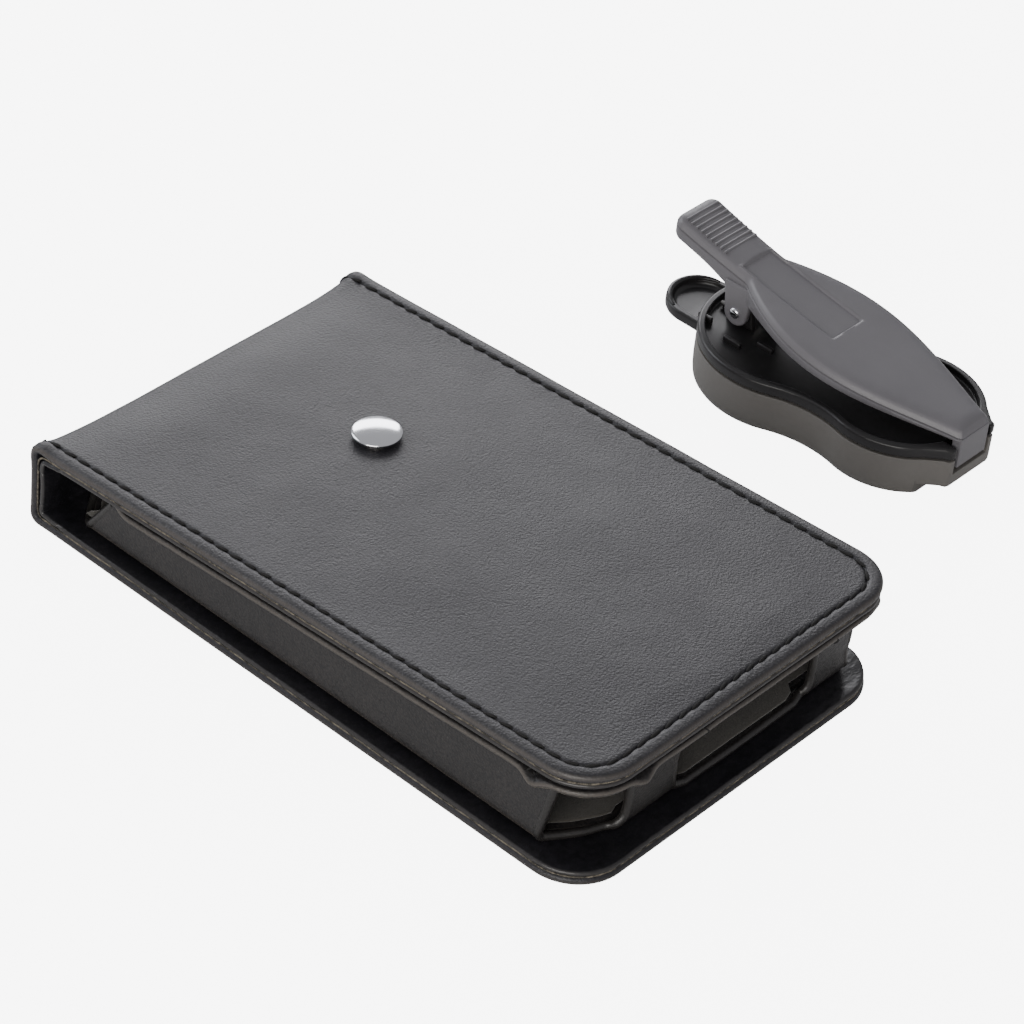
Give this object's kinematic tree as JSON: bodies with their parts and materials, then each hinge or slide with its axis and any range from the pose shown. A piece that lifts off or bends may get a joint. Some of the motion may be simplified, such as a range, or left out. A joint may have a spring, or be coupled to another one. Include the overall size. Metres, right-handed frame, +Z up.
{
  "type": "leather flip case with belt clip",
  "caption": "Black leather flip case for a pocket music player, folded over its stitched pocket, with a domed stud and a detachable sprung belt clip lying beside it.",
  "frame": {"origin": "middle of the front flap's outer face, on the table", "axes": "+X from the spine to the free end of the closed case, +Y across it towards the clip, +Z up from the table"},
  "size_m": [0.1161, 0.1373, 0.0233],
  "materials": {
    "leather": "black fine-grained coated leather, soft sheen",
    "lining": "smooth black coated lining",
    "board": "grey-brown stiffening board",
    "suede": "short-napped dark grey suede cloth",
    "chrome": "bright chrome plate",
    "steel": "plain bright steel",
    "clip_plastic": "fine spark-textured black moulding"
  },
  "bodies": {
    "flap": {"flap_skin": "leather", "flap_board": "board", "flap_lining": "lining"},
    "spine": {"spine_skin": "leather", "spine_lining": "lining"},
    "back": {"back_skin": "leather", "back_board": "board", "back_lining": "lining", "pocket_flange": "leather", "pocket_wall_near": "leather", "pocket_wall_far": "leather", "wall_lining_near": "suede", "wall_lining_far": "suede", "end_strap_near": "leather", "end_strap_far": "leather", "pocket_frame": "leather", "frame_lining": "suede", "stud_cap": "chrome", "stud_collar": "steel", "stud_washer": "steel"},
    "clip_body": {"clip_housing": "clip_plastic", "clip_base": "clip_plastic", "pivot_pin": "steel", "torsion_spring": "steel", "latch_spring": "steel"},
    "arm": {"clip_arm": "clip_plastic"},
    "latch": {"release_latch": "clip_plastic"}
  },
  "joints": [
    {"name": "spine_fold", "type": "hinge", "parent": "flap", "child": "spine", "pos_m": [-0.0576, 0, 0.0004], "axis": [0, -1, 0], "range_deg": [0, 86]},
    {"name": "back_fold", "type": "hinge", "parent": "spine", "child": "back", "pos_m": [-0.0576, 0, 0.0149], "axis": [0, -1, 0], "range_deg": [0, 86]},
    {"name": "clip_lift", "type": "slide", "parent": "flap", "child": "clip_body", "axis": [0, 0, 1], "range_m": [0, 0.05]},
    {"name": "arm_pivot", "type": "hinge", "parent": "clip_body", "child": "arm", "pos_m": [-0.0107, 0.085, 0.0114], "axis": [0, -1, 0], "range_deg": [0, 20], "stiffness_Nm_per_rad": 0.06, "springref_deg": -6.88, "deforming": ["torsion_spring"]},
    {"name": "latch_slide", "type": "slide", "parent": "clip_body", "child": "latch", "axis": [-1, 0, 0], "range_m": [0, 0.0025], "stiffness_N_per_m": 150, "deforming": ["latch_spring"]}
  ]
}
